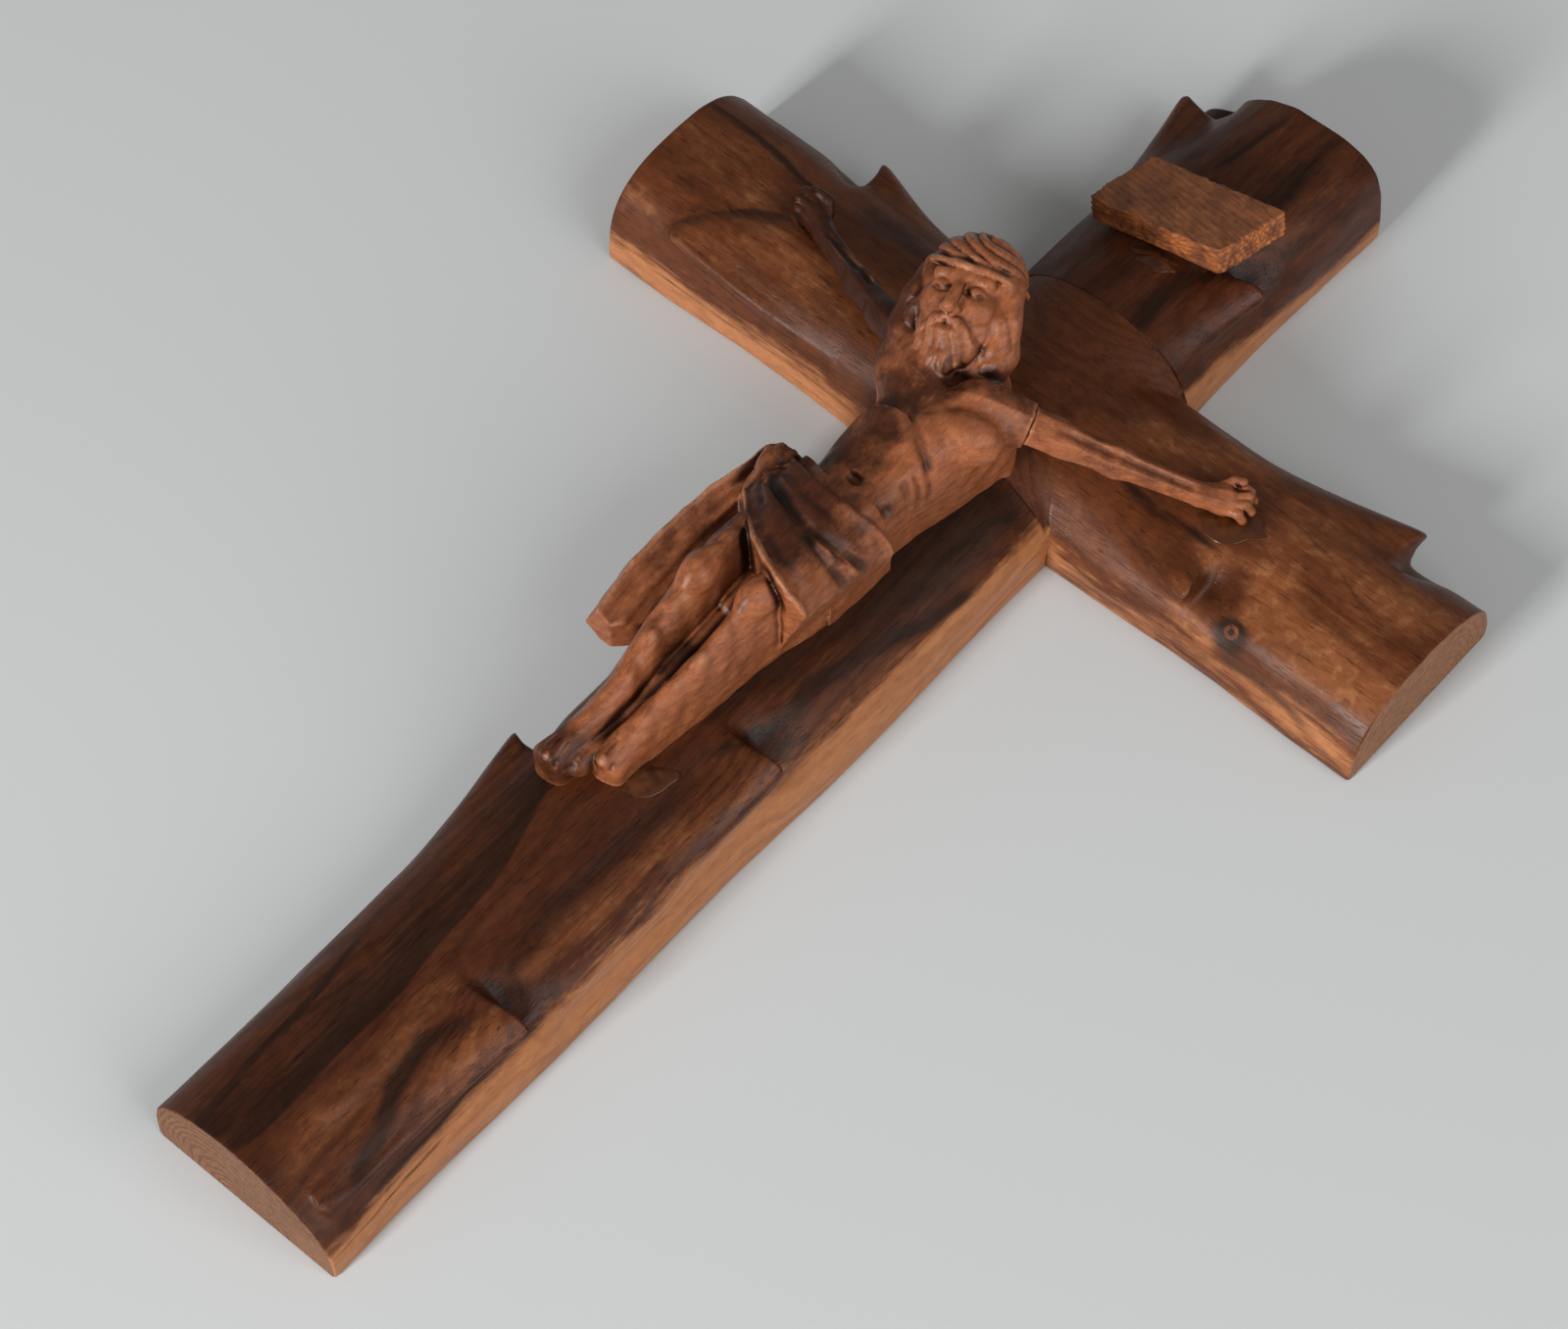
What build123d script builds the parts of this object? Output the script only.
from build123d import *
import os

# Wall crucifix of branch wood: two half-round beams joined by a cross-lap, a carved figure whose
# arms are doweled on, and a small blank plaque, held by hidden dowels, pegs and screws.
#
# Frame in millimetres: X to the viewer's right along the cross-beam, Y up along the upright,
# Z out of the front. The origin is on the flat back, at the centre of the crossing.

# Beams: half branches, flat at the back, with low straight flanks under an elliptic arch
upright_length = 420.0
upright_top_reach = 116.0  # from the crossing's centre to the top end
upright_width = 61.0
upright_foot_crown = 27.5  # height of the front at the foot
upright_crown = 30.0  # at the crossing
upright_top_crown = 31.0  # at the top
cross_length = 259.0
cross_left_reach = 127.0  # from the crossing's centre to the left end
cross_width = 60.0
cross_left_crown = 30.0
cross_right_crown = 26.0
flank_height = 5.0

# Cross-lap and its screws
lap_height = 15.0  # floor of the housing in the upright
screw_head_diameter = 8.0
screw_shank_diameter = 4.0
screw_bite = 9.0  # length that holds in the cross-beam
screw_point = 3.0
screw_recess = 0.6
screw_offset = 11.0  # of each screw from the crossing's centre, along X and along Y

# Trimmed branch stubs
stub_root_radius = 13.0
stub_tip_radius = 5.0
stub_run = 26.0  # length over which a stub grows out of the beam
stub_drop = 8.0  # of a stub's root below its tip
spur_proud = 7.0  # how far the stubs low on the flanks stand out
knuckle_proud = 4.0  # how far the stubs near the front stand out

# Hanging hole in the back
hanging_hole_diameter = 7.0
hanging_hole_depth = 12.0
hanging_hole_drop = 30.0  # below the top end

# Levels of the figure along Y
shoulder_y = -22.5
chest_y = -42.0
waist_y = -64.0
hip_y = -84.0
hem_y = -107.0
knee_y = -117.0
calf_y = -135.0
ankle_y = -155.0
toe_y = -177.0
right_leg_raise = 4.0  # the viewer's right knee and foot lie this much higher

# Trunk and legs of the figure
body_axis = -5.0  # the trunk's middle along X
body_sink = 0.6  # how deep the beam is scribed into the figure's back
collar_drop = 5.0  # of the chest's widest level below the shoulders
chest_half_width = 18.5
chest_half_depth = 14.5
waist_half_width = 13.5
waist_half_depth = 12.0
hip_half_width = 20.0
hip_half_depth = 15.0
hip_spread = 9.0  # of each thigh's top from the trunk's middle
knee_spread = 7.5
ankle_spread = 5.0
leg_lean = 4.0  # of the ankles towards the viewer's left
thigh_radius = 8.8
knee_radius = 6.6
knee_rise = 23.0  # of a knee's middle above the upright's front
calf_radius = 6.0
calf_rise = 15.0
ankle_radius = 4.8
ankle_rise = 8.0
foot_half_width = 5.4
foot_half_depth = 5.0
toe_rise = 3.0  # of the toes' middle above the upright's front

# Loincloth
belt_drop = 6.0  # of its upper edge below the waist
belt_side_proud = 3.5  # of the upper edge beside the waist
belt_front_proud = 1.5
hem_lean = 6.0  # of the hem's middle towards the viewer's right
knot_radius = 5.0
knot_inset = 3.0  # of the knot's middle inside the loincloth's side
knot_rise = 5.0  # of the knot above the middle of the hips
cloth_end_length = 53.0  # of the end that hangs from the knot
cloth_end_half_width = 5.0
cloth_end_half_thickness = 2.2
cloth_end_rise = 14.0  # of its root above the upright's front
cloth_end_tip_rise = 3.5
cloth_end_swing = 9.5  # of its tip outwards from its root

# Head
head_x = -17.0
head_y = -8.0
head_rise = 24.0  # of the head's middle above the upright's front
head_half_width = 14.5
head_half_depth = 15.5
head_height = 41.0  # from the beard's tip to the top
head_tilt = 20.0  # to the viewer's left, in degrees
head_bow = 25.0  # forward, in degrees
headband_proud = 1.8
headband_height = 9.0
neck_radius = 8.0
neck_depth = 4.0  # of the neck's end below the head's middle
chin_forward = 7.0  # of the beard's tip in front of the head's middle
lock_radius = 5.0  # of the hair that falls beside the neck
lock_fall = 18.0  # of that hair below the head's middle
lock_set_back = 4.0  # of that hair behind the head's middle

# Arms, from the shoulder joint to the finger tips
right_joint_x = 16.0
left_joint_x = -27.0
right_wrist_x = 58.5
left_wrist_x = -70.5
wrist_y = -4.0
tips_y = 4.5
hand_length = 15.0  # from the wrist to the finger tips, along X
shoulder_rise = 15.0  # of the shoulder joint above the upright's front
shoulder_length = 13.0  # from inside the chest to the joint
shoulder_half_width = 6.2
shoulder_half_depth = 5.8
elbow_half_width = 4.7
elbow_half_depth = 4.4
wrist_half_width = 3.6
wrist_half_depth = 3.3
wrist_lift = 2.0  # off the cross-beam
hand_half_width = 5.0
hand_half_depth = 4.0
hand_sink = 0.8  # how deep the cross-beam is scribed into the back of a hand

# Dowels of the figure
joint_clearance = 0.1  # glue line around a dowel, peg or screw
body_dowel_diameter = 8.0
body_dowel_in_beam = 9.0
body_dowel_in_body = 10.0
shoulder_dowel_diameter = 4.0
shoulder_dowel_length = 16.0

# Plaque
plaque_width = 43.0
plaque_height = 23.0
plaque_thickness = 9.0
plaque_drop = 52.5  # of the plaque's middle below the top end
plaque_turn = 7.0  # in its own plane, in degrees
plaque_tilt = 8.0  # its right side stands higher, in degrees
plaque_sink = 0.6  # how deep the upright is scribed into the plaque's underside
plaque_chamfer = 0.8
plaque_peg_diameter = 4.0
plaque_peg_in_beam = 8.0
plaque_peg_in_plaque = 5.0
plaque_peg_spacing = 18.0

# Glue that set where it ran out of the joints
glue_rise = 1.2  # above the beam, at the middle of a run
glue_sink = 4.0  # of a run's rim below the beam's front
foot_glue_radius = 9.0
hand_glue_radius = 7.0
plaque_glue_radius = 6.0

# Places that follow from the beams' ends
upright_foot = upright_top_reach - upright_length
cross_right_reach = cross_length - cross_left_reach
plaque_y = upright_top_reach - plaque_drop


def upright_crown_at(y):
    """Height of the upright's front along its middle."""
    if y < 0:
        return upright_crown + (upright_foot_crown - upright_crown) * y / upright_foot
    return upright_crown + (upright_top_crown - upright_crown) * y / upright_top_reach


def cross_crown_at(x):
    """Height of the cross-beam's front along its middle."""
    share = (x + cross_left_reach) / cross_length
    return cross_left_crown + (cross_right_crown - cross_left_crown) * share


def front_at(width, crown, offset):
    """Height of a beam's front beside its middle."""
    return flank_height + (crown - flank_height) * (1 - (2 * offset / width) ** 2) ** 0.5


def reach_at(width, crown, height):
    """Half width of a beam at a height on its arch."""
    return width / 2 * (1 - ((height - flank_height) / (crown - flank_height)) ** 2) ** 0.5


def half_round(plane, width, crown):
    """Profile of a beam: a flat back, two straight flanks and half an ellipse over them."""
    half = width / 2
    with BuildSketch(plane) as profile:
        with BuildLine():
            Polyline((half, flank_height), (half, 0), (-half, 0), (-half, flank_height))
            EllipticalCenterArc((0, flank_height), half, crown - flank_height, arc_size=180)
        make_face()
    return profile.sketch


def limb(stations):
    """Loft ellipses (x, y, z, half width, half depth) square to the path through their centres."""
    centres = [Vector(*station[:3]) for station in stations]
    last = len(stations) - 1
    sections = []
    for index, (_, _, _, half_width, half_depth) in enumerate(stations):
        along = centres[min(index + 1, last)] - centres[max(index - 1, 0)]
        across = along.cross(Vector(0, 0, 1))
        with BuildSketch(Plane(origin=centres[index], x_dir=across, z_dir=along)) as section:
            Ellipse(half_width, half_depth)
        sections.append(section.sketch)
    loft(sections)


def peg(plane, diameter, length, growth=0.0, mode=Mode.ADD):
    """Round peg from a plane along its normal; growth makes the hole that takes it."""
    with BuildSketch(plane.offset(-growth)) as section:
        Circle(diameter / 2 + growth)
    extrude(section.sketch, amount=length + 2 * growth, mode=mode)


def branch_stub(root, tip):
    """Trimmed branch: a cone that leans along the grain from inside the beam to a rounded tip."""
    root, tip = Vector(*root), Vector(*tip)
    way = (tip - root).normalized()
    shoulder = tip - way * stub_tip_radius
    sections = []
    for centre, radius in (
        (root, stub_root_radius),
        (shoulder, stub_tip_radius),
        (tip, stub_tip_radius / 2),
    ):
        with BuildSketch(Plane(origin=centre, z_dir=way)) as section:
            Circle(radius)
        sections.append(section.sketch)
    loft(sections, ruled=True)


# Half branches before they are joined
with BuildPart() as upright_log:
    loft(
        [
            half_round(Plane((0, y, 0), (1, 0, 0), (0, -1, 0)), upright_width, upright_crown_at(y))
            for y in (upright_foot, 0, upright_top_reach)
        ],
        ruled=True,
    )

with BuildPart() as cross_log:
    loft(
        [
            half_round(Plane((x, 0, 0), (0, 1, 0), (1, 0, 0)), cross_width, cross_crown_at(x))
            for x in (-cross_left_reach, cross_right_reach)
        ]
    )

# Stubs of the upright: side (-1 left, 1 right), height of the tip, place along Y, reach
upright_stubs = (
    (-1, 14.0, -171.0, spur_proud),
    (1, 20.0, -132.5, knuckle_proud),
    (1, 19.0, -228.0, knuckle_proud),
    (-1, 12.0, upright_top_reach - 9.0, spur_proud),
    (1, 21.0, upright_top_reach - 52.0, knuckle_proud),
)

# Stubs of the cross-beam: side (-1 below, 1 above), height of the tip, place along X, reach, and
# the way that the branch leaned along X
cross_stubs = (
    (-1, 20.0, cross_right_reach - 59.0, knuckle_proud, 1),
    (1, 13.0, cross_right_reach - 28.0, spur_proud, 1),
    (-1, 22.0, 22.0 - cross_left_reach, knuckle_proud, -1),
    (1, 13.0, 48.0 - cross_left_reach, spur_proud, -1),
)

with BuildPart() as upright_stub_cones:
    for side, height, y, proud in upright_stubs:
        reach = reach_at(upright_width, upright_crown_at(y), height)
        branch_stub(
            (side * (reach - stub_root_radius), y - stub_run, height - stub_drop),
            (side * (reach + proud - stub_tip_radius), y, height),
        )
    split(bisect_by=Plane.XY)

with BuildPart() as cross_stub_cones:
    for side, height, x, proud, lean in cross_stubs:
        reach = reach_at(cross_width, cross_crown_at(x), height)
        branch_stub(
            (x - lean * stub_run, side * (reach - stub_root_radius), height - stub_drop),
            (x, side * (reach + proud - stub_tip_radius), height),
        )
    split(bisect_by=Plane.XY)

# Hidden screws, dowels and pegs
screw_places = [(-screw_offset, -screw_offset), (screw_offset, screw_offset)]
screw_head_radius = screw_head_diameter / 2
screw_shank_radius = screw_shank_diameter / 2
screw_tip = lap_height + screw_bite
body_dowel_length = body_dowel_in_beam + body_dowel_in_body
body_dowel_planes = [
    Plane((body_axis, y, upright_crown_at(y) - body_dowel_in_beam)) for y in (chest_y, hip_y)
]
plaque_back = Plane(
    Location(
        (0, plaque_y, upright_crown_at(plaque_y) - plaque_sink), (0, -plaque_tilt, plaque_turn)
    )
)
plaque_peg_length = plaque_peg_in_beam + plaque_peg_in_plaque
plaque_peg_planes = [
    Plane(plaque_back.location * Pos(x, 0, -plaque_peg_in_beam))
    for x in (-plaque_peg_spacing / 2, plaque_peg_spacing / 2)
]

with BuildPart() as screw:
    with BuildSketch(Plane.XZ):
        with BuildLine():
            Polyline(
                (0, screw_recess),
                (screw_head_radius, screw_recess),
                (screw_shank_radius, screw_recess + screw_head_radius - screw_shank_radius),
                (screw_shank_radius, screw_tip - screw_point),
                (0, screw_tip),
                close=True,
            )
        make_face()
    revolve(axis=Axis.Z)

with BuildPart() as lap_screws:
    with Locations(*screw_places):
        add(screw.part)

with BuildPart() as body_dowels:
    for plane in body_dowel_planes:
        peg(plane, body_dowel_diameter, body_dowel_length)

with BuildPart() as plaque_pegs:
    for plane in plaque_peg_planes:
        peg(plane, plaque_peg_diameter, plaque_peg_length)


def bore_body_dowels():
    """Holes for the dowels between the figure and the beam."""
    for plane in body_dowel_planes:
        peg(plane, body_dowel_diameter, body_dowel_length, joint_clearance, Mode.SUBTRACT)


def bore_plaque_pegs():
    """Holes for the plaque's pegs."""
    for plane in plaque_peg_planes:
        peg(plane, plaque_peg_diameter, plaque_peg_length, joint_clearance, Mode.SUBTRACT)


# Housing: what is cut out of the upright in front of the lap's floor, as wide as the cross-beam
with BuildPart() as housing:
    with BuildSketch(Plane.XY.offset(lap_height)):
        Rectangle(2 * upright_width, cross_width)
    extrude(amount=upright_length)

with BuildPart() as crossing_block:
    add(upright_log.part)
    add(housing.part, mode=Mode.INTERSECT)

with BuildPart() as upright_blank:
    add(upright_log.part)
    add(upright_stub_cones.part)
    add(housing.part, mode=Mode.SUBTRACT)

with BuildPart() as upright_beam:
    add(upright_blank.part)
    with Locations(*[Plane((x, y, 0), z_dir=(0, 0, -1)) for x, y in screw_places]):
        CounterSinkHole(
            screw_shank_radius + joint_clearance,
            screw_head_radius + screw_recess + joint_clearance,
            depth=screw_tip,
            counter_sink_angle=90,
        )
    with Locations(Plane((0, upright_top_reach - hanging_hole_drop, 0), z_dir=(0, 0, -1))):
        Hole(hanging_hole_diameter / 2, depth=hanging_hole_depth)
    bore_body_dowels()
    bore_plaque_pegs()

# The cross-beam fills the housing flush with the upright's front and is scribed to its flanks
with BuildPart() as cross_beam:
    add(cross_log.part)
    add(cross_stub_cones.part)
    add(crossing_block.part)
    add(upright_blank.part, mode=Mode.SUBTRACT)
    for x, y in screw_places:
        peg(Plane((x, y, 0)), screw_shank_diameter, screw_tip, joint_clearance, Mode.SUBTRACT)
    bore_body_dowels()

# Arms: joints at the shoulders, hands on the cross-beam's front
seat = upright_crown - body_sink


def on_cross(x, y, half_depth):
    """Middle of a wrist or hand that lies on the cross-beam's front."""
    level = front_at(cross_width, cross_crown_at(x), y)
    return Vector(x, y, level + half_depth - hand_sink)


def arm_points(joint_x, wrist_x, side):
    """Shoulder joint, wrist, palm and finger tips of one arm."""
    palm_x = wrist_x + side * hand_length / 2
    return (
        Vector(joint_x, shoulder_y, upright_crown + shoulder_rise),
        on_cross(wrist_x, wrist_y, wrist_half_depth) + Vector(0, 0, wrist_lift),
        on_cross(palm_x, (wrist_y + tips_y) / 2, hand_half_depth),
        on_cross(wrist_x + side * hand_length, tips_y, hand_half_depth),
    )


def carve_arm(joint, wrist, palm, tips):
    """Arm from its shoulder joint through the elbow to the wrist, palm and finger tips."""
    span = wrist - joint
    upper_half_width = (shoulder_half_width + elbow_half_width) / 2
    limb(
        (
            (*joint, shoulder_half_width, shoulder_half_depth),
            (*(joint + span * 0.28), upper_half_width, shoulder_half_depth),
            (*(joint + span * 0.55), elbow_half_width, elbow_half_depth),
            (*(joint + span * 0.78), elbow_half_width, elbow_half_depth),
            (*wrist, wrist_half_width, wrist_half_depth),
            (*palm, hand_half_width, hand_half_depth),
            (*tips, hand_half_width * 0.8, hand_half_depth * 0.8),
        )
    )


right_arm_points = arm_points(right_joint_x, right_wrist_x, 1)
left_arm_points = arm_points(left_joint_x, left_wrist_x, -1)
shoulder_joints = [
    (joint, (wrist - joint).normalized())
    for joint, wrist, _, _ in (right_arm_points, left_arm_points)
]
shoulder_dowel_planes = [
    Plane(origin=joint - way * (shoulder_dowel_length / 2), z_dir=way)
    for joint, way in shoulder_joints
]

with BuildPart() as shoulder_dowels:
    for plane in shoulder_dowel_planes:
        peg(plane, shoulder_dowel_diameter, shoulder_dowel_length)


def bore_shoulder_dowels():
    """Holes for the dowels between the shoulders and the arms."""
    for plane in shoulder_dowel_planes:
        peg(plane, shoulder_dowel_diameter, shoulder_dowel_length, joint_clearance, Mode.SUBTRACT)


with BuildPart() as arm_right:
    carve_arm(*right_arm_points)
    add(cross_beam.part, mode=Mode.SUBTRACT)
    bore_shoulder_dowels()

with BuildPart() as arm_left:
    carve_arm(*left_arm_points)
    add(cross_beam.part, mode=Mode.SUBTRACT)
    bore_shoulder_dowels()

# Head frame: X to the head's side, Y up through its top, Z out of the face
head_frame = Plane(Location((head_x, head_y, upright_crown + head_rise), (head_bow, 0, head_tilt)))


def from_head(side, up, forward):
    """Point given in the head's own frame."""
    return head_frame.from_local_coords(Vector(side, up, forward))


def head_loft(levels):
    """Loft ellipses (share of the height, forward shift, half width, half depth) up the head."""
    sections = []
    for share, forward, half_width, half_depth in levels:
        level = from_head(0, share * head_height, forward)
        with BuildSketch(Plane(level, head_frame.x_dir, head_frame.y_dir)) as section:
            Ellipse(half_width, half_depth)
        sections.append(section.sketch)
    loft(sections)


def carve_trunk():
    """Trunk from the collar to the hips, with a shoulder cut square for each arm."""
    chest_z = seat + chest_half_depth
    collar_y = shoulder_y - collar_drop
    limb(
        (
            (body_axis, shoulder_y + neck_radius, chest_z, neck_radius, neck_radius),
            (body_axis, collar_y, chest_z, chest_half_width, chest_half_depth * 0.85),
            (body_axis, chest_y, chest_z, chest_half_width * 0.95, chest_half_depth),
            (body_axis, waist_y, seat + waist_half_depth, waist_half_width, waist_half_depth),
            (body_axis, hip_y, seat + hip_half_depth, hip_half_width * 0.85, hip_half_depth * 0.9),
        )
    )
    root_half_width = shoulder_half_width * 1.2
    root_half_depth = shoulder_half_depth * 1.2
    for joint, way in shoulder_joints:
        limb(
            (
                (*(joint - way * shoulder_length), root_half_width, root_half_depth),
                (*joint, shoulder_half_width, shoulder_half_depth),
            )
        )


def carve_leg(side, raised):
    """Leg from the hip over the knee to the toes; side is -1 for the viewer's left."""
    ankle_x = body_axis - leg_lean + side * ankle_spread
    knee_x = body_axis + side * knee_spread
    hip_x = body_axis + side * hip_spread
    limb(
        (
            (hip_x, hip_y, seat + hip_half_depth, thigh_radius, thigh_radius),
            (knee_x, knee_y + raised, seat + knee_rise, knee_radius, knee_radius),
            ((knee_x + ankle_x) / 2, calf_y + raised, seat + calf_rise, calf_radius, calf_radius),
            (ankle_x, ankle_y + raised, seat + ankle_rise, ankle_radius, ankle_radius),
            (ankle_x, toe_y + raised, seat + toe_rise, foot_half_width, foot_half_depth),
        )
    )


def carve_loincloth():
    """Loincloth round the hips, its knot at the viewer's left and the end that hangs from it."""
    hip_z = seat + hip_half_depth
    belt_y = waist_y - belt_drop
    belt_half_width = waist_half_width + belt_side_proud
    belt_half_depth = waist_half_depth + belt_front_proud
    hem_z = seat + knee_rise * 0.8
    lap_x, hem_x = body_axis + hem_lean / 3, body_axis + hem_lean
    lap_y = (hip_y + hem_y) / 2
    limb(
        (
            (body_axis, belt_y, seat + waist_half_depth, belt_half_width, belt_half_depth),
            (body_axis, hip_y, hip_z, hip_half_width, hip_half_depth),
            (lap_x, lap_y, hip_z, hip_half_width * 0.9, hip_half_depth),
            (hem_x, hem_y, hem_z, hip_half_width * 0.55, hip_half_depth * 0.65),
        )
    )
    knot_x = body_axis - hip_half_width + knot_inset
    knot_y = (belt_y + hip_y) / 2
    limb(
        (
            (knot_x, belt_y, hip_z + knot_rise, knot_radius * 0.6, knot_radius * 0.6),
            (knot_x, knot_y, hip_z + knot_rise, knot_radius, knot_radius),
            (knot_x, hip_y, hip_z, knot_radius * 0.7, knot_radius * 0.8),
        )
    )
    cloth_end = []
    for share, swing, width in ((0.0, 0.0, 1.0), (0.34, 0.7, 1.0), (0.72, 1.0, 1.0), (1.0, 0.95, 0.8)):
        x = knot_x - swing * cloth_end_swing
        y = hip_y + knot_radius - share * cloth_end_length
        z = seat + cloth_end_rise + share * (cloth_end_tip_rise - cloth_end_rise)
        cloth_end.append((x, y, z, cloth_end_half_width * width, cloth_end_half_thickness))
    limb(cloth_end)


def carve_head():
    """Neck and bearded head, with a headband and a lock of hair that falls on each side."""
    nape = from_head(0, -neck_depth, -lock_set_back)
    limb(
        (
            (body_axis, shoulder_y - collar_drop, seat + chest_half_depth, neck_radius, neck_radius),
            (*nape, neck_radius, neck_radius),
        )
    )
    head_loft(
        (
            (-0.5, chin_forward, head_half_width * 0.3, head_half_depth * 0.3),
            (-0.34, chin_forward / 2, head_half_width * 0.68, head_half_depth * 0.66),
            (-0.1, 0.0, head_half_width, head_half_depth * 0.95),
            (0.2, 0.0, head_half_width, head_half_depth),
            (0.4, 0.0, head_half_width * 0.85, head_half_depth * 0.88),
            (0.5, 0.0, head_half_width * 0.5, head_half_depth * 0.5),
        )
    )
    band_foot = 0.15
    band_top = band_foot + headband_height / head_height
    band_half_width = head_half_width + headband_proud
    band_half_depth = head_half_depth + headband_proud
    upper_half_width = head_half_width + headband_proud / 2
    upper_half_depth = head_half_depth + headband_proud / 2
    head_loft(
        (
            (band_foot, 0.0, band_half_width, band_half_depth),
            (band_top, 0.0, upper_half_width, upper_half_depth),
        )
    )
    for side in (-1, 1):
        beside = side * head_half_width * 0.8
        limb(
            (
                (*from_head(beside, lock_radius, -lock_set_back), lock_radius, lock_radius),
                (*from_head(beside, -lock_fall / 2, -lock_set_back), lock_radius, lock_radius),
                (*from_head(beside, -lock_fall, -lock_set_back), lock_radius * 0.7, lock_radius * 0.7),
            )
        )


with BuildPart() as corpus:
    carve_trunk()
    carve_leg(-1, 0.0)
    carve_leg(1, right_leg_raise)
    carve_loincloth()
    carve_head()
    add(upright_beam.part, mode=Mode.SUBTRACT)
    add(cross_beam.part, mode=Mode.SUBTRACT)
    add(arm_right.part, mode=Mode.SUBTRACT)
    add(arm_left.part, mode=Mode.SUBTRACT)
    bore_body_dowels()
    bore_shoulder_dowels()

with BuildPart() as title_plaque:
    with BuildSketch(plaque_back):
        Rectangle(plaque_width, plaque_height)
    extrude(amount=plaque_thickness)
    chamfer(edges(), plaque_chamfer)
    add(upright_beam.part, mode=Mode.SUBTRACT)
    add(cross_beam.part, mode=Mode.SUBTRACT)
    bore_plaque_pegs()


def glue_run(x, y, level, radius):
    """Set run of glue: a low spherical cap whose rim lies below the beam's front."""
    ball_radius = (radius**2 + glue_rise**2) / (2 * glue_rise)
    rim = (ball_radius**2 - (ball_radius - glue_rise - glue_sink) ** 2) ** 0.5
    with BuildSketch(Plane((x, y, level), (1, 0, 0), (0, -1, 0))) as half:
        with BuildLine():
            cap = TangentArc((0, glue_rise), (rim, -glue_sink), tangent=(1, 0))
            Polyline(cap @ 1, (0, -glue_sink), cap @ 0)
        make_face()
    revolve(half.sketch, axis=Axis((x, y, 0), (0, 0, 1)))


foot_glue_x = body_axis - leg_lean + ankle_spread + foot_half_width
foot_glue_y = toe_y + right_leg_raise + foot_glue_radius / 2
with BuildPart() as foot_glue:
    level = front_at(upright_width, upright_crown_at(foot_glue_y), foot_glue_x)
    glue_run(foot_glue_x, foot_glue_y, level, foot_glue_radius)
    add(upright_beam.part, mode=Mode.SUBTRACT)
    add(corpus.part, mode=Mode.SUBTRACT)


def hand_glue(hand):
    """Run of glue below a hand."""
    x, y = hand.X, hand.Y - hand_half_width
    glue_run(x, y, front_at(cross_width, cross_crown_at(x), y), hand_glue_radius)
    add(cross_beam.part, mode=Mode.SUBTRACT)


with BuildPart() as right_hand_glue:
    hand_glue(right_arm_points[2])
    add(arm_right.part, mode=Mode.SUBTRACT)

with BuildPart() as left_hand_glue:
    hand_glue(left_arm_points[2])
    add(arm_left.part, mode=Mode.SUBTRACT)

plaque_glue_y = plaque_y - plaque_height / 2 - plaque_glue_radius * 0.7
with BuildPart() as plaque_glue:
    glue_run(0, plaque_glue_y, upright_crown_at(plaque_glue_y), plaque_glue_radius)
    add(upright_beam.part, mode=Mode.SUBTRACT)
    add(cross_beam.part, mode=Mode.SUBTRACT)
    add(title_plaque.part, mode=Mode.SUBTRACT)

os.makedirs("parts", exist_ok=True)
for name, piece in (
    ("upright_beam", upright_beam),
    ("cross_beam", cross_beam),
    ("lap_screws", lap_screws),
    ("corpus", corpus),
    ("arm_left", arm_left),
    ("arm_right", arm_right),
    ("shoulder_dowels", shoulder_dowels),
    ("body_dowels", body_dowels),
    ("title_plaque", title_plaque),
    ("plaque_pegs", plaque_pegs),
    ("foot_glue", foot_glue),
    ("left_hand_glue", left_hand_glue),
    ("right_hand_glue", right_hand_glue),
    ("plaque_glue", plaque_glue),
):
    piece.part.label = name
    export_step(piece.part, f"parts/{name}.step")
    print(name, len(piece.part.solids()), round(piece.part.volume))
